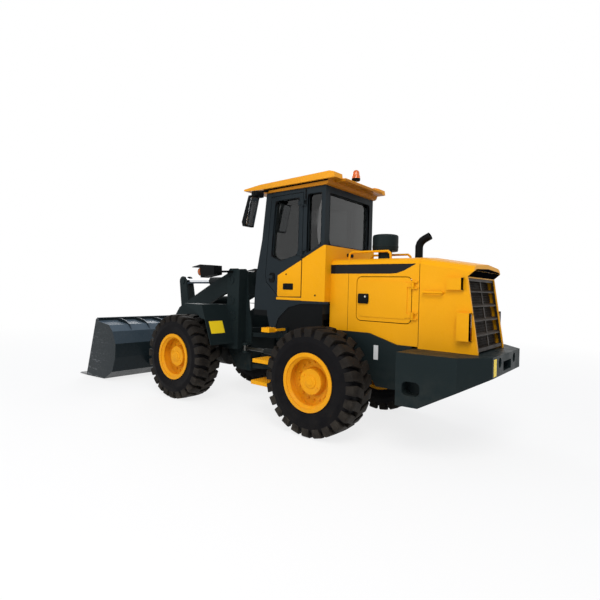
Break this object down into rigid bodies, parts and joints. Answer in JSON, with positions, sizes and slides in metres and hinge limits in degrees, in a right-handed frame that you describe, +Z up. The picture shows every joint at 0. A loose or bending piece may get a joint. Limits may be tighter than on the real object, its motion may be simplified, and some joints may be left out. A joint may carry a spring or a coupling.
{
  "type": "articulated wheel loader",
  "caption": "Articulated wheel loader with a Z-bar loader arm and bucket, enclosed cab, rear engine hood and counterweight, on big lug tyres.",
  "frame": {"origin": "on the ground, under the middle of the overall length and width", "axes": "+X forward, +Y to the driver's left, +Z up"},
  "size_m": [7.49, 2.4, 3.4997],
  "materials": {
    "body_yellow": "satin",
    "body_dark": "satin",
    "machinery": "matte",
    "rod_chrome": "polished",
    "edge_steel": "worn",
    "tyre_rubber": "matte",
    "cab_glazing": "tinted",
    "black_trim": "matte",
    "seat_cloth": "woven",
    "amber_lens": "gloss",
    "red_lens": "gloss"
  },
  "bodies": {
    "rear_body": {"rear_frame": "body_dark", "counterweight": "body_dark", "tanks": "body_dark", "rear_axle": "machinery", "engine": "machinery", "gearbox": "machinery", "radiator": "machinery", "hood_shell": "body_yellow", "hood_rear": "body_yellow", "grille": "black_trim", "air_cleaner": "black_trim", "exhaust_pipe": "black_trim", "rear_lamps": "red_lens", "cab_floor": "body_dark", "cab_frame": "body_dark", "cab_glass": "cab_glazing", "cab_roof": "body_yellow", "side_panels": "body_yellow", "arch_panels": "body_dark", "seat_base": "body_dark", "seat_cushions": "seat_cloth", "steering_column": "black_trim", "beacon": "amber_lens", "mirrors": "black_trim", "ladders": "body_yellow", "hood_rails": "black_trim"},
    "front_body": {"front_frame": "body_dark", "front_axle": "machinery", "front_fenders": "body_dark", "headlamps": "black_trim"},
    "boom_body": {"boom": "body_dark"},
    "bucket_body": {"bucket": "body_dark", "cutting_edge": "edge_steel"},
    "bellcrank_body": {"bellcrank": "body_dark"},
    "link_body": {"bucket_link": "body_dark"},
    "lift_barrel_body": {"lift_barrels": "machinery"},
    "lift_rod_body": {"lift_rods": "rod_chrome"},
    "tilt_barrel_body": {"tilt_barrel": "machinery"},
    "tilt_rod_body": {"tilt_rod": "rod_chrome"},
    "cab_door_left_body": {"cab_door_left": "body_dark", "door_glass_left": "cab_glazing"},
    "hood_door_left_body": {"hood_door_left": "body_yellow"},
    "steer_barrel_left_body": {"steer_barrel_left": "machinery"},
    "steer_rod_left_body": {"steer_rod_left": "rod_chrome"},
    "wheel_front_left": {"tyre_front_left": "tyre_rubber", "rim_front_left": "body_yellow"},
    "wheel_rear_left": {"tyre_rear_left": "tyre_rubber", "rim_rear_left": "body_yellow"},
    "cab_door_right_body": {"cab_door_right": "body_dark", "door_glass_right": "cab_glazing"},
    "hood_door_right_body": {"hood_door_right": "body_yellow"},
    "steer_barrel_right_body": {"steer_barrel_right": "machinery"},
    "steer_rod_right_body": {"steer_rod_right": "rod_chrome"},
    "wheel_front_right": {"tyre_front_right": "tyre_rubber", "rim_front_right": "body_yellow"},
    "wheel_rear_right": {"tyre_rear_right": "tyre_rubber", "rim_rear_right": "body_yellow"}
  },
  "joints": [
    {"name": "articulation", "type": "hinge", "parent": "rear_body", "child": "front_body", "pos_m": [-0.475, 0, 0.8], "axis": [0, 0, 1], "range_deg": [-35, 35]},
    {"name": "wheel_front_left_spin", "type": "hinge", "parent": "front_body", "child": "wheel_front_left", "pos_m": [0.85, 0.915, 0.67], "axis": [0, 1, 0], "continuous": true},
    {"name": "wheel_front_right_spin", "type": "hinge", "parent": "front_body", "child": "wheel_front_right", "pos_m": [0.85, -0.915, 0.67], "axis": [0, 1, 0], "continuous": true},
    {"name": "wheel_rear_left_spin", "type": "hinge", "parent": "rear_body", "child": "wheel_rear_left", "pos_m": [-1.8, 0.915, 0.67], "axis": [0, 1, 0], "continuous": true},
    {"name": "wheel_rear_right_spin", "type": "hinge", "parent": "rear_body", "child": "wheel_rear_right", "pos_m": [-1.8, -0.915, 0.67], "axis": [0, 1, 0], "continuous": true},
    {"name": "boom_lift", "type": "hinge", "parent": "front_body", "child": "boom_body", "pos_m": [0.21002, 0, 1.91], "axis": [0, -1, 0], "range_deg": [0, 72]},
    {"name": "bucket_tilt", "type": "hinge", "parent": "boom_body", "child": "bucket_body", "pos_m": [2.304, 0, 0.349], "axis": [0, 1, 0], "range_deg": [-40, 115]},
    {"name": "bellcrank_turn", "type": "hinge", "parent": "boom_body", "child": "bellcrank_body", "pos_m": [1.827, 0, 1.044], "axis": [0, -1, 0], "range_deg": [-9.3, 25.8]},
    {"name": "link_turn", "type": "hinge", "parent": "bucket_body", "child": "link_body", "pos_m": [2.35, 0, 0.685], "axis": [0, -1, 0], "range_deg": [-24.5, 69.5]},
    {"name": "lift_barrels_turn", "type": "hinge", "parent": "front_body", "child": "lift_barrel_body", "pos_m": [0.1504, 0, 1.34], "axis": [0, -1, 0], "range_deg": [0, 59.58]},
    {"name": "lift_rods_slide", "type": "slide", "parent": "lift_barrel_body", "child": "lift_rod_body", "axis": [0.9881, 0, -0.1536], "range_m": [0, 0.6108]},
    {"name": "tilt_barrel_turn", "type": "hinge", "parent": "front_body", "child": "tilt_barrel_body", "pos_m": [0.21002, 0, 1.91], "axis": [0, -1, 0], "range_deg": [0, 72.5]},
    {"name": "tilt_rod_slide", "type": "slide", "parent": "tilt_barrel_body", "child": "tilt_rod_body", "axis": [0.9999, 0, -0.0112], "range_m": [-0.3798, 0.1354]},
    {"name": "steer_barrel_left_turn", "type": "hinge", "parent": "rear_body", "child": "steer_barrel_left_body", "pos_m": [-1.376, 0.5, 0.85], "axis": [0, 0, 1], "range_deg": [-10.01, 10.01]},
    {"name": "steer_rod_left_slide", "type": "slide", "parent": "steer_barrel_left_body", "child": "steer_rod_left_body", "axis": [0.9983, -0.0575, 0], "range_m": [-0.2715, 0.2715]},
    {"name": "steer_barrel_right_turn", "type": "hinge", "parent": "rear_body", "child": "steer_barrel_right_body", "pos_m": [-1.376, -0.5, 0.85], "axis": [0, 0, 1], "range_deg": [-10.01, 10.01]},
    {"name": "steer_rod_right_slide", "type": "slide", "parent": "steer_barrel_right_body", "child": "steer_rod_right_body", "axis": [0.9983, 0.0575, 0], "range_m": [-0.2715, 0.2715]},
    {"name": "cab_door_left_swing", "type": "hinge", "parent": "rear_body", "child": "cab_door_left_body", "pos_m": [-1.312, 0.657, 2.4], "axis": [0, 0, 1], "range_deg": [0, 100]},
    {"name": "hood_door_left_swing", "type": "hinge", "parent": "rear_body", "child": "hood_door_left_body", "pos_m": [-2.854, 0.542, 1.7], "axis": [0, 0, 1], "range_deg": [0, 100]},
    {"name": "cab_door_right_swing", "type": "hinge", "parent": "rear_body", "child": "cab_door_right_body", "pos_m": [-1.312, -0.657, 2.4], "axis": [0, 0, -1], "range_deg": [0, 100]},
    {"name": "hood_door_right_swing", "type": "hinge", "parent": "rear_body", "child": "hood_door_right_body", "pos_m": [-2.854, -0.542, 1.7], "axis": [0, 0, -1], "range_deg": [0, 100]}
  ],
  "couplings": [
    {"joint": "bellcrank_turn", "follows": "bucket_tilt", "ratio": 0.22},
    {"joint": "link_turn", "follows": "bucket_tilt", "ratio": 0.6},
    {"joint": "tilt_rod_slide", "follows": "bucket_tilt", "m_per_rad": -0.18672},
    {"joint": "tilt_barrel_turn", "follows": "boom_lift", "ratio": 1},
    {"joint": "lift_barrels_turn", "follows": "boom_lift", "ratio": 0.82062},
    {"joint": "lift_rods_slide", "follows": "boom_lift", "m_per_rad": 0.48211},
    {"joint": "steer_barrel_left_turn", "follows": "articulation", "ratio": 0.27183},
    {"joint": "steer_rod_left_slide", "follows": "articulation", "m_per_rad": -0.43632},
    {"joint": "steer_barrel_right_turn", "follows": "articulation", "ratio": 0.27183},
    {"joint": "steer_rod_right_slide", "follows": "articulation", "m_per_rad": 0.43632}
  ]
}
